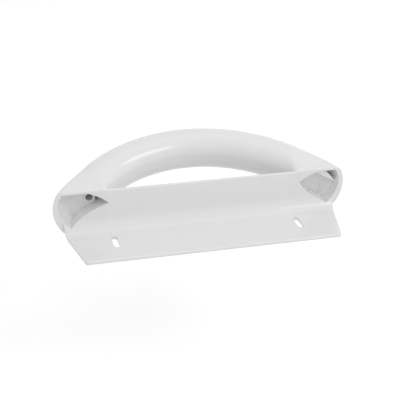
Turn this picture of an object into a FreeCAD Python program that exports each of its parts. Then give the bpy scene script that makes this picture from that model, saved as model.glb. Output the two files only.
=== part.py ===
import FreeCAD, Part
import math
import os
import Sketcher

os.makedirs("parts", exist_ok=True)
doc = FreeCAD.newDocument("FridgeDoorHandle")

# A bow handle for a fridge door, moulded in one piece of white plastic.
# X runs along the handle, Y points away from the door and Z points up.
# The flange goes under the edge of the door and is screwed to it through two slots.
# The front plate stands on the flange and lies on the front face of the door.
# The bow springs from two feet at the ends of the plate. Each foot is hollow on its door side.
# Origin: on the flange's upper face, half way between the two slots.

# Driving dimensions, in millimetres and degrees
SIZES = [
    ("slot_spacing", 128.0),
    ("slot_width", 4.0),
    ("slot_length", 14.5),
    ("slot_setback", 18.0),
    ("flange_depth", 40.6),
    ("flange_half_at_fold", 95.6),
    ("flange_half_at_edge", 87.2),
    ("flange_corner_radius", 2.5),
    ("sheet_thickness", 2.2),
    ("edge_softness", 0.8),
    ("plate_height", 29.3),
    ("cove_radius", 10.0),
    ("rim_radius", 25.4),
    ("rim_centre_x", 77.0),
    ("rim_centre_z", 17.8),
    ("rim_inner_x", 64.0),
    ("rim_top_corner", 4.0),
    ("rim_bottom_corner", 6.0),
    ("bow_radius", 100.3),
    ("bow_setback", 50.4),
    ("bow_centre_z", 5.7),
    ("bow_tilt", 15.5),
    ("bow_half_angle", 42.0),
    ("foot_rise", 0.3),
    ("bar_diameter", 27.6),
    ("bar_wall", 3.6),
    ("hollow_half_angle", 45.0),
    ("rim_width", 3.5),
    ("opening_top_wall", 1.5),
    ("opening_low_x", 90.5),
    ("opening_low_z", 4.0),
    ("left_tip_x", 64.8),
    ("left_tip_z", 19.7),
    ("left_sole_x", 78.6),
    ("left_sole_z", 13.4),
    ("left_brow_x", 72.4),
    ("left_brow_z", 25.2),
    ("left_shoulder_x", 79.0),
    ("right_tip_x", 69.6),
    ("right_tip_z", 21.2),
    ("right_sole_x", 78.5),
    ("right_sole_z", 10.9),
    ("right_brow_x", 75.8),
    ("right_brow_z", 25.0),
    ("right_shoulder_x", 83.5),
    ("opening_middle_depth", 6.0),
    ("opening_depth", 10.0),
    ("gas_hole_diameter", 5.2),
    ("gas_boss_diameter", 7.8),
    ("gas_hole_x", 76.5),
    ("gas_hole_z", 20.4),
]
# How squarely the foot's walls run into its rim: 0 for freely, 1 for square to the door
FOOT_SQUARENESS = 0.42
# Flats round the hollow of the bow
CHANNEL_FLATS = 12

sheet = doc.addObject("Spreadsheet::Sheet", "Sizes")
for row, (alias, number) in enumerate(SIZES, start=1):
    sheet.set("A%d" % row, alias)
    sheet.set("B%d" % row, str(number))
    sheet.setAlias("B%d" % row, alias)
doc.recompute()


def size(alias):
    return float(getattr(sheet, alias))


def vec(x, y):
    return FreeCAD.Vector(x, y, 0)


body = doc.addObject("PartDesign::Body", "DoorHandle")
body.Label = "door_handle"
planes = {feature.Role: feature for feature in body.Origin.OriginFeatures}


def new_sketch(name, plane):
    """A sketch on one of the body's own origin planes."""
    sketch = body.newObject("Sketcher::SketchObject", name)
    sketch.AttachmentSupport = [(planes[plane], "")]
    sketch.MapMode = "FlatFace"
    return sketch


def join_loop(sketch):
    """Joins each edge to the next where their ends meet, all the way round."""
    count = sketch.GeometryCount
    for edge in range(count):
        following = (edge + 1) % count
        for end, start in ((2, 1), (2, 2), (1, 1), (1, 2)):
            if sketch.getPoint(edge, end).isEqual(sketch.getPoint(following, start), 1e-6):
                sketch.addConstraint(Sketcher.Constraint("Coincident", edge, end, following, start))
                break


def arc(centre, radius, start_degrees, end_degrees):
    """Arc of a circle that starts and ends at these angles, either way round."""
    points = []
    for degrees in (start_degrees, (start_degrees + end_degrees) / 2, end_degrees):
        angle = math.radians(degrees)
        points.append(centre + vec(radius * math.cos(angle), radius * math.sin(angle)))
    return Part.Arc(*points)


door_y = size("slot_setback")
thick = size("sheet_thickness")
cove = size("cove_radius")
top_z = size("plate_height")
edge_y = door_y - size("flange_depth")
rim_top_z = top_z + size("foot_rise")


def rim_corner(side_radius, corner_radius, level, upward):
    """Centre of a corner arc that touches the rim's side arc inside and a level line.

    Returns its distance from the side arc's centre along X, and its height.
    """
    height = level - corner_radius if upward else level + corner_radius
    reach = side_radius - corner_radius
    return math.sqrt(reach ** 2 - (height - size("rim_centre_z")) ** 2), height


def rim_outline(side):
    """Eight edges of a foot's outline on the door plane, outer side first, then the top.

    side is 1 for the right foot and -1 for the left one.
    """
    radius = size("rim_radius")
    mid_z = size("rim_centre_z")
    top_radius = size("rim_top_corner")
    low_radius = size("rim_bottom_corner")
    top_dx, top_cz = rim_corner(radius, top_radius, rim_top_z, True)
    low_dx, low_cz = rim_corner(radius, low_radius, -thick, False)
    outer_x = size("rim_centre_x")
    inner_x = size("rim_inner_x") + radius
    top_angle = math.degrees(math.atan2(top_cz - mid_z, top_dx))
    low_angle = math.degrees(math.atan2(low_cz - mid_z, low_dx))

    def at(centre_x, centre_z, arc_radius, degrees):
        angle = math.radians(degrees)
        x = centre_x + arc_radius * math.cos(angle)
        return vec(side * x, centre_z + arc_radius * math.sin(angle))

    def side_arc(centre_x, centre_z, arc_radius, start, end):
        turns = (start, (start + end) / 2, end)
        return Part.Arc(*[at(centre_x, centre_z, arc_radius, degrees) for degrees in turns])

    top_outer = vec(side * (outer_x + top_dx), rim_top_z)
    top_inner = vec(side * (inner_x - top_dx), rim_top_z)
    low_inner = vec(side * (inner_x - low_dx), -thick)
    low_outer = vec(side * (outer_x + low_dx), -thick)
    return [
        side_arc(outer_x, mid_z, radius, low_angle, top_angle),
        side_arc(outer_x + top_dx, top_cz, top_radius, top_angle, 90),
        Part.LineSegment(top_outer, top_inner),
        side_arc(inner_x - top_dx, top_cz, top_radius, 90, 180 - top_angle),
        side_arc(inner_x, mid_z, radius, 180 - top_angle, 180 - low_angle),
        side_arc(inner_x - low_dx, low_cz, low_radius, 180 - low_angle, 270),
        Part.LineSegment(low_inner, low_outer),
        side_arc(outer_x + low_dx, low_cz, low_radius, -90, low_angle),
    ]


# Flange, cove and front plate as one bent section
section = new_sketch("SheetSection", "YZ_Plane")
bend = vec(door_y - cove, cove)
outer_bend = cove + thick
section.addGeometry([
    Part.LineSegment(vec(edge_y, 0), vec(bend.x, 0)),
    arc(bend, cove, -90, 0),
    Part.LineSegment(vec(door_y, cove), vec(door_y, top_z)),
    Part.LineSegment(vec(door_y, top_z), vec(door_y + thick, top_z)),
    Part.LineSegment(vec(door_y + thick, top_z), vec(door_y + thick, cove)),
    arc(bend, outer_bend, 0, -90),
    Part.LineSegment(vec(bend.x, -thick), vec(edge_y, -thick)),
    Part.LineSegment(vec(edge_y, -thick), vec(edge_y, 0)),
], False)
join_loop(section)
pad = body.newObject("PartDesign::Pad", "BentSheet")
pad.Profile = section
pad.SideType = "Symmetric"
pad.setExpression("Length", "2 * Sizes.flange_half_at_fold")
doc.recompute()


def along(edge, axis, value):
    """True when the whole edge lies at this value of X, Y or Z."""
    box = edge.BoundBox
    low = getattr(box, axis + "Min")
    high = getattr(box, axis + "Max")
    return abs(low - value) < 1e-4 and abs(high - value) < 1e-4


# Free edge of the flange and top edge of the plate, softened as a mould leaves them
soft_edges = []
for number, edge in enumerate(pad.Shape.Edges, start=1):
    runs_along_handle = edge.BoundBox.XLength > size("flange_half_at_fold")
    if runs_along_handle and (along(edge, "Y", edge_y) or along(edge, "Z", top_z)):
        soft_edges.append("Edge%d" % number)
softened = body.newObject("PartDesign::Fillet", "SoftEdges")
softened.Base = (pad, soft_edges)
softened.setExpression("Radius", "Sizes.edge_softness")
doc.recompute()

# How far a cutting outline reaches past the material that it removes
OVERCUT = 5.0
beyond_x = size("flange_half_at_fold") + OVERCUT


def cut_through(name, sketch):
    pocket = body.newObject("PartDesign::Pocket", name)
    pocket.Profile = sketch
    pocket.Type = "ThroughAll"
    pocket.SideType = "Symmetric"
    return pocket


# End of the flange, tapered towards its free edge and rounded at the corner
fold_x = size("flange_half_at_fold")
free_x = size("flange_half_at_edge")
corner = size("flange_corner_radius")
taper = math.atan2(fold_x - free_x, door_y - edge_y)
slope_length = corner * math.tan((math.pi / 2 - taper) / 2)
on_edge = vec(free_x - slope_length, edge_y)
on_slope = vec(free_x + slope_length * math.sin(taper), edge_y + slope_length * math.cos(taper))
corner_centre = vec(on_edge.x, edge_y + corner)
halfway = vec(math.cos(-(math.pi / 2 + taper) / 2), math.sin(-(math.pi / 2 + taper) / 2))
taper_outline = new_sketch("TaperOutline", "XY_Plane")
taper_outline.addGeometry([
    Part.LineSegment(vec(fold_x, door_y), on_slope),
    Part.Arc(on_slope, corner_centre + halfway * corner, on_edge),
    Part.LineSegment(on_edge, vec(on_edge.x, edge_y - OVERCUT)),
    Part.LineSegment(vec(on_edge.x, edge_y - OVERCUT), vec(beyond_x, edge_y - OVERCUT)),
    Part.LineSegment(vec(beyond_x, edge_y - OVERCUT), vec(beyond_x, door_y)),
    Part.LineSegment(vec(beyond_x, door_y), vec(fold_x, door_y)),
], False)
join_loop(taper_outline)
taper_cut = cut_through("TaperCut", taper_outline)

# Screw slot, long across the flange so that the handle can be set against the door's face
slot_x = size("slot_spacing") / 2
slot_radius = size("slot_width") / 2
slot_reach = size("slot_length") / 2 - slot_radius
slot_outline = new_sketch("SlotOutline", "XY_Plane")
slot_outline.addGeometry([
    arc(vec(slot_x, slot_reach), slot_radius, 0, 180),
    Part.LineSegment(vec(slot_x - slot_radius, slot_reach), vec(slot_x - slot_radius, -slot_reach)),
    arc(vec(slot_x, -slot_reach), slot_radius, 180, 360),
    Part.LineSegment(vec(slot_x + slot_radius, -slot_reach), vec(slot_x + slot_radius, slot_reach)),
], False)
join_loop(slot_outline)
slot_cut = cut_through("SlotCut", slot_outline)


def mirror_to_left(name, features):
    mirrored = body.newObject("PartDesign::Mirrored", name)
    mirrored.Originals = features
    mirrored.MirrorPlane = (planes["YZ_Plane"], [""])
    body.Tip = mirrored
    doc.recompute()
    return mirrored


mirror_to_left("SheetEnds", [taper_cut, slot_cut])


def rim_sketch(name, side):
    sketch = new_sketch(name, "XZ_Plane")
    sketch.setExpression("AttachmentOffset.Base.z", "-Sizes.slot_setback")
    sketch.addGeometry(rim_outline(side), False)
    join_loop(sketch)
    return sketch


# Ends of the eight arcs of a round section, turned from its outer side towards its top
ROUND_CORNERS = [-30, 55, 75, 105, 125, 210, 240, 300, 330]


def bar_frame(side):
    """Centre, outward direction, upward direction and running direction of the bow's end."""
    angle = math.radians(size("bow_half_angle"))
    lean = math.radians(size("bow_tilt"))
    along_handle = FreeCAD.Vector(side, 0, 0)
    away_from_door = FreeCAD.Vector(0, math.cos(lean), math.sin(lean))
    outward = along_handle * math.sin(angle) + away_from_door * math.cos(angle)
    upward = FreeCAD.Vector(0, -math.sin(lean), math.cos(lean))
    running = along_handle * math.cos(angle) - away_from_door * math.sin(angle)
    hub = FreeCAD.Vector(0, door_y - size("bow_setback"), size("bow_centre_z"))
    return hub + outward * size("bow_radius"), outward, upward, running


def foot_curve(start, start_run, end, end_run, share):
    """Point on a smooth curve from the bow's end to the rim, share running from 0 to 1."""
    stride = (end - start).Length
    leave = 1 - share
    landing = stride * FOOT_SQUARENESS
    return (start * (leave * leave * (1 + 2 * share)) + start_run * (stride * share * leave * leave)
            + end * (share * share * (1 + 2 * leave)) - end_run * (landing * leave * share * share))


def foot_sketch(name, side, share):
    """Section of a foot at this share of the way from the bow's end to its rim."""
    hub, outward, upward, running = bar_frame(side)
    radius = size("bar_diameter") / 2
    to_door = FreeCAD.Vector(0, -1, 0)
    points = []
    for edge, turn, following in zip(rim_outline(side), ROUND_CORNERS[:-1], ROUND_CORNERS[1:]):
        for part in (0, 0.5):
            flat = edge.value(edge.FirstParameter + part * (edge.LastParameter - edge.FirstParameter))
            rim_point = FreeCAD.Vector(flat.x, door_y, flat.y)
            angle = math.radians(turn + part * (following - turn))
            bar_point = hub + outward * (radius * math.cos(angle)) + upward * (radius * math.sin(angle))
            points.append(foot_curve(bar_point, running, rim_point, to_door, share))
    middle = sum(points, FreeCAD.Vector()) * (1 / len(points))
    normal = FreeCAD.Vector()
    for point, following in zip(points, points[1:] + points[:1]):
        normal += (point - middle).cross(following - middle)
    normal.normalize()
    across = points[1] - middle
    across = (across - normal * across.dot(normal)).normalize()
    along_section = normal.cross(across)
    sketch = new_sketch(name, "XY_Plane")
    turn = FreeCAD.Rotation(across, along_section, normal, "ZXY")
    sketch.AttachmentOffset = FreeCAD.Placement(middle, turn)
    flat = [vec((point - middle).dot(across), (point - middle).dot(along_section)) for point in points]
    flat.append(flat[0])
    for first in range(0, len(points), 2):
        sketch.addGeometry(Part.Arc(*flat[first:first + 3]), False)
    join_loop(sketch)
    return sketch


def bow_ring(name, diameter_expression, diameter, flats=0):
    """Section at the top of the arch, in a plane square to the arc and leaning with it.

    It is a circle, or a regular polygon inside that circle where a number of flats is given.
    """
    sketch = new_sketch(name, "YZ_Plane")
    sketch.setExpression(
        "AttachmentOffset",
        "placement(vector(Sizes.slot_setback - Sizes.bow_setback; Sizes.bow_centre_z; 0); "
        "rotation(vector(0; 0; 1); Sizes.bow_tilt * 1deg))",
    )
    centre = vec(size("bow_radius"), 0)
    sketch.addGeometry(Part.Circle(centre, FreeCAD.Vector(0, 0, 1), diameter / 2), flats > 0)
    sketch.addConstraint(Sketcher.Constraint("PointOnObject", 0, 3, -1))
    reach = sketch.addConstraint(Sketcher.Constraint("DistanceX", -1, 1, 0, 3, size("bow_radius")))
    sketch.setExpression("Constraints[%d]" % reach, "Sizes.bow_radius")
    across = sketch.addConstraint(Sketcher.Constraint("Diameter", 0, diameter))
    sketch.setExpression("Constraints[%d]" % across, diameter_expression)
    corners = []
    for number in range(flats):
        angle = math.pi * (2 * number - 1) / flats
        corners.append(centre + vec(math.cos(angle), math.sin(angle)) * (diameter / 2))
    for flat in range(1, flats + 1):
        sketch.addGeometry(Part.LineSegment(corners[flat - 1], corners[flat % flats]), False)
        sketch.addConstraint(Sketcher.Constraint("PointOnObject", flat, 1, 0))
    for flat in range(1, flats + 1):
        sketch.addConstraint(Sketcher.Constraint("Coincident", flat, 2, flat % flats + 1, 1))
    for flat in range(2, flats + 1):
        sketch.addConstraint(Sketcher.Constraint("Equal", 1, flat))
    if flats:
        sketch.addConstraint(Sketcher.Constraint("Vertical", 1))
    return sketch


# Bow, a round bar turned about the centre of its arc
bar_section = bow_ring("BarSection", "Sizes.bar_diameter", size("bar_diameter"))
bow = body.newObject("PartDesign::Revolution", "Bow")
bow.Profile = bar_section
bow.ReferenceAxis = (bar_section, ["V_Axis"])
bow.Midplane = True
bow.setExpression("Angle", "2 * Sizes.bow_half_angle")
doc.recompute()

# Feet, each flowing from the round end of the bow to the outline of its rim
for side, word in ((1, "Right"), (-1, "Left")):
    sections = [rim_sketch(word + "Rim", side)]
    for share in (0.67, 0.33, 0.0):
        sections.append(foot_sketch("%sFoot%d" % (word, round(share * 100)), side, share))
    foot = body.newObject("PartDesign::AdditiveLoft", word + "Foot")
    foot.Profile = sections[0]
    foot.Sections = sections[1:]
    body.Tip = foot
    doc.recompute()

# Hollow of the bow, a gas channel along the same arc
# Gas leaves no exact surface, so flats stand for its round section
width = size("bar_diameter") - 2 * size("bar_wall")
channel = bow_ring("ChannelSection", "Sizes.bar_diameter - 2 * Sizes.bar_wall", width, CHANNEL_FLATS)
hollow = body.newObject("PartDesign::Groove", "Channel")
hollow.Profile = channel
hollow.ReferenceAxis = (channel, ["V_Axis"])
hollow.Midplane = True
hollow.setExpression("Angle", "2 * Sizes.hollow_half_angle")
doc.recompute()


def deep_sketch(name, level):
    """An empty sketch parallel to the door, at this depth inside a foot."""
    sketch = new_sketch(name, "XZ_Plane")
    sketch.setExpression("AttachmentOffset.Base.z", "-Sizes.slot_setback - %r" % level)
    return sketch


def opening_sketch(name, side, level, corners):
    """Outline of a foot's hollow at this depth behind the door plane."""
    sketch = deep_sketch(name, level)
    tip, sole, low, bulge, outer, shoulder, brow = [vec(side * x, z) for x, z in corners]
    sketch.addGeometry([
        Part.Arc(tip, sole, low),
        Part.Arc(low, bulge, outer),
        Part.LineSegment(outer, shoulder),
        Part.Arc(shoulder, brow, tip),
    ], False)
    join_loop(sketch)
    return sketch


def ring_sketch(name, level, corners):
    """Outline with straight sides at this depth behind the door plane."""
    sketch = deep_sketch(name, level)
    points = [vec(*corner) for corner in corners]
    for start, end in zip(points, points[1:] + points[:1]):
        sketch.addGeometry(Part.LineSegment(start, end), False)
    join_loop(sketch)
    return sketch


def straight_loft(kind, name, rings):
    """Loft with straight sides from each ring to the next."""
    loft = body.newObject("PartDesign::" + kind, name)
    loft.Profile = rings[0]
    loft.Sections = rings[1:]
    loft.Ruled = True
    body.Tip = loft
    doc.recompute()


inner_radius = size("rim_radius") - size("rim_width")
mid_x = size("rim_centre_x")
mid_z = size("rim_centre_z")
roof_z = rim_top_z - size("opening_top_wall")
depth = size("opening_depth")


def mouth(word):
    """Corners of a foot's opening: tip, sole, low corner, bulge, outer corner, shoulder and brow."""
    return [
        (size(word + "_tip_x"), size(word + "_tip_z")),
        (size(word + "_sole_x"), size(word + "_sole_z")),
        (size("opening_low_x"), size("opening_low_z")),
        (mid_x + inner_radius, mid_z),
        (mid_x + math.sqrt(inner_radius ** 2 - (roof_z - mid_z) ** 2), roof_z),
        (size(word + "_shoulder_x"), roof_z),
        (size(word + "_brow_x"), size(word + "_brow_z")),
    ]


def drawn_in(corners, low_inset, outer_inset, top_inset):
    """The same outline further into the foot, its lower, outer and upper sides moved inwards."""
    tip, sole, low, bulge, outer, shoulder, brow = corners
    return [
        tip,
        sole,
        (low[0] - low_inset, low[1] + low_inset),
        (bulge[0] - outer_inset, bulge[1]),
        (outer[0] - outer_inset, outer[1] - top_inset),
        (shoulder[0] - outer_inset / 4, shoulder[1] - top_inset),
        (brow[0], brow[1] - top_inset / 2),
    ]


# Hollow of each foot: straight at the mouth, then closing in towards a flat floor
for side, word in ((1, "right"), (-1, "left")):
    levels = [
        (-OVERCUT, mouth(word)),
        (0.1 * depth, mouth(word)),
        (size("opening_middle_depth"), drawn_in(mouth(word), 0.1 * depth, 0.2 * depth, 0.06 * depth)),
        (depth, drawn_in(mouth(word), 0.25 * depth, depth, 0.2 * depth)),
    ]
    rings = []
    for number, (level, corners) in enumerate(levels):
        rings.append(opening_sketch("%sRing%d" % (word.title(), number), side, level, corners))
    straight_loft("SubtractiveLoft", word.title() + "Opening", rings)

# Deep pointed end of the left opening, where the floor stops short of the tip
tip_x = size("left_tip_x")
tip_z = size("left_tip_z")
wedge = [
    (-tip_x - 0.12 * depth, tip_z),
    (-tip_x - 0.75 * depth, tip_z - 0.28 * depth),
    (-tip_x - 0.75 * depth, tip_z + 0.50 * depth),
    (-tip_x - 0.40 * depth, tip_z + 0.32 * depth),
]
wedge_cut = body.newObject("PartDesign::Pocket", "Wedge")
wedge_cut.Profile = ring_sketch("WedgeOutline", 0.3 * depth, wedge)
wedge_cut.Length = 1.6 * depth
doc.recompute()


def beside_rim(shares):
    """Points at these shares of the opening's radius from the rim's centre."""
    return [(mid_x + across * inner_radius, mid_z + above * inner_radius) for across, above in shares]


# Web across the outer top corner of the right opening
web_inner = [(0.09, 0.49), (0.45, 0.28)]
web_front = beside_rim(web_inner + [(0.72, 0.13), (1.02, -0.04), (0.97, 0.31), (0.89, 0.49)])
web_root = beside_rim(web_inner + [(0.64, 0.15), (0.83, -0.01), (0.80, 0.31), (0.70, 0.49)])
straight_loft("AdditiveLoft", "Web", [
    ring_sketch("WebFront", 0.2 * depth, web_front),
    ring_sketch("WebRoot", 1.05 * depth, web_root),
])

# Deep crevice between the web and the outer wall
crevice = [
    (0.1 * depth, beside_rim([(0.59, 0.43), (0.95, 0.04), (0.98, 0.21), (0.91, 0.43)])),
    (0.9 * depth, beside_rim([(0.52, 0.42), (0.79, 0.01), (0.85, 0.12), (0.77, 0.42)])),
    (1.5 * depth, beside_rim([(0.32, 0.40), (0.52, 0.01), (0.61, 0.12), (0.54, 0.40)])),
]
crevice_rings = []
for number, (level, corners) in enumerate(crevice):
    crevice_rings.append(ring_sketch("CreviceRing%d" % number, level, corners))
straight_loft("SubtractiveLoft", "Crevice", crevice_rings)

# Gas hole of the left foot in its raised ring, through the floor into the hollow of the bow
gas = vec(-size("gas_hole_x"), size("gas_hole_z"))
ring = deep_sketch("GasRing", 0.92 * depth)
ring.addGeometry(Part.Circle(gas, FreeCAD.Vector(0, 0, 1), size("gas_boss_diameter") / 2), False)
boss = body.newObject("PartDesign::Pad", "GasBoss")
boss.Profile = ring
boss.Length = 0.15 * depth
boss.Reversed = True
doc.recompute()
bore = deep_sketch("GasBore", 0.8 * depth)
bore.addGeometry(Part.Circle(gas, FreeCAD.Vector(0, 0, 1), size("gas_hole_diameter") / 2), False)
gas_hole = body.newObject("PartDesign::Pocket", "GasHole")
gas_hole.Profile = bore
gas_hole.Length = 1.8 * depth
doc.recompute()

# Every feature is sound before anything is written
for feature in doc.Objects:
    if {"Invalid", "Error"} & set(feature.State):
        raise RuntimeError("%s did not build: %s" % (feature.Name, feature.State))
    if hasattr(feature, "Shape") and feature in body.Group:
        if feature.Shape.isNull() or not feature.Shape.isValid():
            raise RuntimeError("%s has no sound shape" % feature.Name)
if len(body.Shape.Solids) != 1:
    raise RuntimeError("the handle is not one solid")

body.Shape.exportStep("parts/%s.step" % body.Label)
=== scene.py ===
# %% [markdown]
# # Fridge door handle
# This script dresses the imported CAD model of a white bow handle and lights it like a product
# photograph. The handle is one moulding of glossy white plastic, so there is one object to finish.
# Every length is in metres, in the frame of the CAD: X runs along the handle, Y points away from
# the door and Z points up. The origin lies between the two screw slots.

# %% Load the frame
import bpy
from mathutils import Matrix, Vector


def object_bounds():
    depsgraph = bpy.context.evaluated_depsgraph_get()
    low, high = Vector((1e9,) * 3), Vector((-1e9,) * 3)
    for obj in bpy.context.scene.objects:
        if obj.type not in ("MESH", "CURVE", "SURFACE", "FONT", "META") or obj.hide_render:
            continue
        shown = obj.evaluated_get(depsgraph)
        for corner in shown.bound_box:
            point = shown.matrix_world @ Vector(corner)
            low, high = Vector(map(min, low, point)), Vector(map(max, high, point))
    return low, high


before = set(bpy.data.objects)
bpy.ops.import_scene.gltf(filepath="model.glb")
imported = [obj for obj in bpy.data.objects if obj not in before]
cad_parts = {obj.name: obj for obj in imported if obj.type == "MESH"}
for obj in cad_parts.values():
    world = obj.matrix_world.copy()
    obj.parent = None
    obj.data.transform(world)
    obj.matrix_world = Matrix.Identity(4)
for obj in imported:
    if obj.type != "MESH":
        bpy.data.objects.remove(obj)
cad_low, cad_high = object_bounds()
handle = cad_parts["door_handle"]
print("CAD box", [round(v, 4) for v in cad_low], [round(v, 4) for v in cad_high])

# %% [markdown]
# ## Colours
# White plastic is never pure white: this one is neutral and gives back a little over four fifths
# of the light. Its colour could be typed as the linear numbers that a shader calculates with, but a
# colour picker shows sRGB. So the colours stay hex codes that can be looked up, and one function
# converts them.

# %% Colour helper
def linear(code):
    """Linear RGBA of an sRGB colour written as six hex digits."""
    channels = []
    for start in (0, 2, 4):
        value = int(code[start:start + 2], 16) / 255
        channels.append(value / 12.92 if value <= 0.04045 else ((value + 0.055) / 1.055) ** 2.4)
    return (*channels, 1.0)


PLASTIC_LIGHT = linear("EDEDED")
PLASTIC_DARK = linear("EAEAEA")
print("plastic in linear light", [round(v, 3) for v in PLASTIC_LIGHT[:3] + PLASTIC_DARK[:3]])

# %% [markdown]
# ## A helper for shader nodes
# Every material here is a small graph. Each node could be made, set and linked in lines of its own,
# but the steps would be lost among them. This helper adds one node and fills its sockets, so that a
# material reads as a list of steps.

# %% Node helper
def add_node(tree, kind, inputs=(), **settings):
    """Adds a node of this kind, sets its options, then sets or links the inputs that are given.

    An input is found by its name, or by its number where several sockets share a name.
    """
    node = tree.nodes.new(kind)
    for name, value in settings.items():
        setattr(node, name, value)
    for name, value in dict(inputs).items():
        socket = node.inputs[name]
        if isinstance(value, bpy.types.NodeSocket):
            tree.links.new(value, socket)
        else:
            socket.default_value = value
    return node


def new_material(name):
    """A material with an empty graph, and that graph."""
    material = bpy.data.materials.new(name)
    material.use_nodes = True
    material.node_tree.nodes.clear()
    return material, material.node_tree

# %% [markdown]
# ## The plastic
# Handles like this are moulded in ABS. It comes out of a polished mould glossy and nearly white,
# with a little light passing into the surface. It could be one flat colour, but then the bow would
# look like paint on a computer. A real moulding has a very low swell, where the plastic shrank, and
# a fine change in gloss, which break up a highlight just enough. Both are made from noise that is
# read at the object's own coordinates, so their sizes are real ones.

# %% Where the noise is read
SWELL_SIZE_MM = 8.0
HAZE_SIZE_MM = 1.1
swell_scale = 1000 / SWELL_SIZE_MM
haze_scale = 1000 / HAZE_SIZE_MM
plastic, tree = new_material("glossy_white_abs")
position = add_node(tree, "ShaderNodeTexCoord").outputs["Object"]
swell = add_node(tree, "ShaderNodeTexNoise", {
    "Vector": position, "Scale": swell_scale, "Detail": 2.0, "Roughness": 0.45,
})
haze = add_node(tree, "ShaderNodeTexNoise", {
    "Vector": position, "Scale": haze_scale, "Detail": 3.0, "Roughness": 0.6,
})
print("noise scales", round(swell_scale, 1), round(haze_scale, 1))

# %% Colour and gloss of the plastic
GLOSS_LOW = 0.13
GLOSS_HIGH = 0.20
MIX_FACTOR, MIX_A, MIX_B = 0, 6, 7  # the numbers of the Mix node's sockets for colours
gloss = add_node(tree, "ShaderNodeMapRange", {
    "Value": haze.outputs["Fac"], "To Min": GLOSS_LOW, "To Max": GLOSS_HIGH,
})
colour = add_node(tree, "ShaderNodeMix", {
    MIX_FACTOR: swell.outputs["Fac"], MIX_A: PLASTIC_LIGHT, MIX_B: PLASTIC_DARK,
}, data_type="RGBA")
print("roughness varies between", GLOSS_LOW, "and", GLOSS_HIGH)

# %% [markdown]
# ## Soft edges
# No edge that comes out of a mould is perfectly sharp: each one has a radius of a few tenths of a
# millimetre, and that is what catches a thin line of light. A Bevel modifier could round them all,
# but it would change the shape and add many faces. The large edges are rounded in the CAD model
# already. The small ones, round the slots and the hollows of the feet, are rounded by the Bevel
# shader node, in the shading alone, which leaves the mesh as it is.

# %% Edge shading and relief
EDGE_RADIUS = 0.0004
SWELL_DEPTH = 0.0004
SWELL_STRENGTH = 0.12
edges = add_node(tree, "ShaderNodeBevel", {"Radius": EDGE_RADIUS}, samples=6)
relief = add_node(tree, "ShaderNodeBump", {
    "Height": swell.outputs["Fac"],
    "Strength": SWELL_STRENGTH,
    "Distance": SWELL_DEPTH,
    "Normal": edges.outputs["Normal"],
})
print("small edges shaded with a radius of", EDGE_RADIUS * 1000, "mm")

# %% The surface itself
ABS_IOR = 1.53
LIGHT_ENTERS = 0.3                 # share of the light that scatters under the surface
SCATTER_DEPTH = 0.002              # how far it goes, in metres
SCATTER_COLOUR = (1.0, 0.95, 0.9)  # red light goes slightly further than blue
surface = add_node(tree, "ShaderNodeBsdfPrincipled", {
    "Base Color": colour.outputs[2],
    "Roughness": gloss.outputs["Result"],
    "IOR": ABS_IOR,
    "Normal": relief.outputs["Normal"],
    "Subsurface Weight": LIGHT_ENTERS,
    "Subsurface Radius": SCATTER_COLOUR,
    "Subsurface Scale": SCATTER_DEPTH,
})
add_node(tree, "ShaderNodeOutputMaterial", {"Surface": surface.outputs["BSDF"]})
print("plastic has", len(tree.nodes), "nodes")

# %% [markdown]
# ## Plastic on the handle
# The whole handle is one shot of one plastic, hollows and slots too. Faces could carry different
# materials, but here every face gets the same one.

# %% Put the plastic on
handle.data.materials.clear()
handle.data.materials.append(plastic)
for polygon in handle.data.polygons:
    polygon.material_index = 0
print("faces of the handle", len(handle.data.polygons))

# %% [markdown]
# ## A background that is white only when it is looked at
# The photograph was taken on white. The floor and the sky could be lit until they are white, but
# the handle would be washed out too. The Light Path node tells a shader which ray is asking. The
# background adds its white only for rays from the camera and for mirror-like and see-through rays,
# and it lights the handle with no more than the handle needs.

# %% Helper for seen rays
def seen_directly(tree):
    """1 for camera, glossy and transmission rays, 0 for the rays that carry soft light."""
    path = add_node(tree, "ShaderNodeLightPath")
    seen = path.outputs["Is Camera Ray"]
    for name in ("Is Glossy Ray", "Is Transmission Ray"):
        either = add_node(tree, "ShaderNodeMath", {0: seen, 1: path.outputs[name]},
                          operation="MAXIMUM")
        seen = either.outputs["Value"]
    return seen

# %% [markdown]
# ## Floor
# A wide floor lies a hand's width below the handle, as a sheet of white card would. A curved
# backdrop would do as well, but the white sky already hides the far edge. The card is matt, takes
# the handle's soft shadow, and is lifted to white by a little light of its own.

# %% Floor
FLOOR_HALF = 4.0
FLOOR_HEIGHT = -0.11
corners = [(-1, -1), (1, -1), (1, 1), (-1, 1)]
floor_mesh = bpy.data.meshes.new("studio_floor")
floor_mesh.from_pydata(
    [(FLOOR_HALF * x, FLOOR_HALF * y, FLOOR_HEIGHT) for x, y in corners], [], [(0, 1, 2, 3)])
floor = bpy.data.objects.new("studio_floor", floor_mesh)
bpy.context.collection.objects.link(floor)
print("floor", 2 * FLOOR_HALF, "m wide at", FLOOR_HEIGHT, "m")

# %% White card of the floor
CARD_GREY = linear("E2E2E2")
PURE_WHITE = linear("FFFFFF")
FLOOR_LIFT = 0.40
card, tree = new_material("white_studio_card")
matt = add_node(tree, "ShaderNodeBsdfDiffuse", {"Color": CARD_GREY})
lift = add_node(tree, "ShaderNodeMath", {0: seen_directly(tree), 1: FLOOR_LIFT},
                operation="MULTIPLY")
glow = add_node(tree, "ShaderNodeEmission", {
    "Color": PURE_WHITE, "Strength": lift.outputs["Value"],
})
both = add_node(tree, "ShaderNodeAddShader", {0: matt.outputs["BSDF"], 1: glow.outputs["Emission"]})
add_node(tree, "ShaderNodeOutputMaterial", {"Surface": both.outputs["Shader"]})
floor_mesh.materials.append(card)
print("the card is lifted by", FLOOR_LIFT, "where it is seen")

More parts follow.
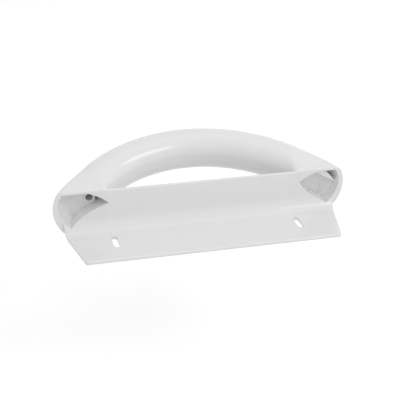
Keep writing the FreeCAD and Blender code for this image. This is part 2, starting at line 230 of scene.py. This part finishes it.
# %% [markdown]
# ## Light
# The photograph is lit very evenly, as in a light tent: the tops, the front and even the hollows of
# the feet are almost the same grey. Soft boxes alone could do it, but it would take many. So the
# world does that work. Three broad soft boxes, above, in front and on the right, make the flange a
# little brighter than the plate and reach into the feet. A narrow one, high on the right, draws the
# long highlight on the bow.

# %% World
FILL_STRENGTH = 0.68
WHITE_STRENGTH = 1.0
world = bpy.data.worlds.new("white_studio")
bpy.context.scene.world = world
world.use_nodes = True
tree = world.node_tree
tree.nodes.clear()
fill = add_node(tree, "ShaderNodeBackground", {"Color": PURE_WHITE, "Strength": FILL_STRENGTH})
white = add_node(tree, "ShaderNodeBackground", {"Color": PURE_WHITE, "Strength": WHITE_STRENGTH})
sky = add_node(tree, "ShaderNodeMixShader", {
    0: seen_directly(tree), 1: fill.outputs["Background"], 2: white.outputs["Background"],
})
add_node(tree, "ShaderNodeOutputWorld", {"Surface": sky.outputs["Shader"]})
print("fill from all sides", FILL_STRENGTH)

# %% Soft boxes
SOFT_BOXES = {
    # name: direction from the handle, distance, width and height in metres, power in watts
    "highlight_box": ((0.56, -0.46, 0.69), 1.6, 0.75, 0.42, 4.0),
    "top_box": ((0.0, 0.0, 1.0), 1.8, 1.6, 1.6, 2.8),
    "front_box": ((-0.2, -0.75, 0.65), 1.8, 1.6, 1.2, 1.2),
    "side_box": ((1.0, -0.35, 0.25), 1.6, 1.2, 1.2, 1.6),
}
middle = (Vector(cad_low) + Vector(cad_high)) / 2
for name, (direction, distance, width, height, power) in SOFT_BOXES.items():
    light = bpy.data.lights.new(name, "AREA")
    light.shape = "RECTANGLE"
    light.size = width
    light.size_y = height
    light.energy = power
    lamp = bpy.data.objects.new(name, light)
    lamp.location = middle + Vector(direction).normalized() * distance
    lamp.rotation_euler = (middle - lamp.location).to_track_quat("-Z", "Y").to_euler()
    bpy.context.collection.objects.link(lamp)
    print(name, [round(v, 3) for v in lamp.location], power, "W")

# %% [markdown]
# ## Camera
# The camera stands where the photograph was taken. It could be turned by hand until the outlines
# agree, but it was calculated instead, from the edges of the flange and the plate, the two slots
# and the rims of the feet. So it is given as a place and the directions of the picture's right and
# up.

# %% Camera
LENS_MM = 96.25
SENSOR_MM = 36.0
CAMERA_PLACE = Vector((-0.1811, -0.6025, 0.3548))
PICTURE_RIGHT = Vector((0.9645, -0.2623, 0.0299))
PICTURE_UP = Vector((0.0967, 0.4564, 0.8845))
camera_data = bpy.data.cameras.new("photo_camera")
camera_data.lens = LENS_MM
camera_data.sensor_width = SENSOR_MM
camera = bpy.data.objects.new("photo_camera", camera_data)
backwards = PICTURE_RIGHT.cross(PICTURE_UP)
turn = Matrix((PICTURE_RIGHT, PICTURE_UP, backwards)).transposed()
camera.matrix_world = Matrix.Translation(CAMERA_PLACE) @ turn.to_4x4()
bpy.context.collection.objects.link(camera)
bpy.context.scene.camera = camera
bpy.context.scene.view_settings.view_transform = "Standard"
print("camera at", [round(v, 3) for v in camera.location])
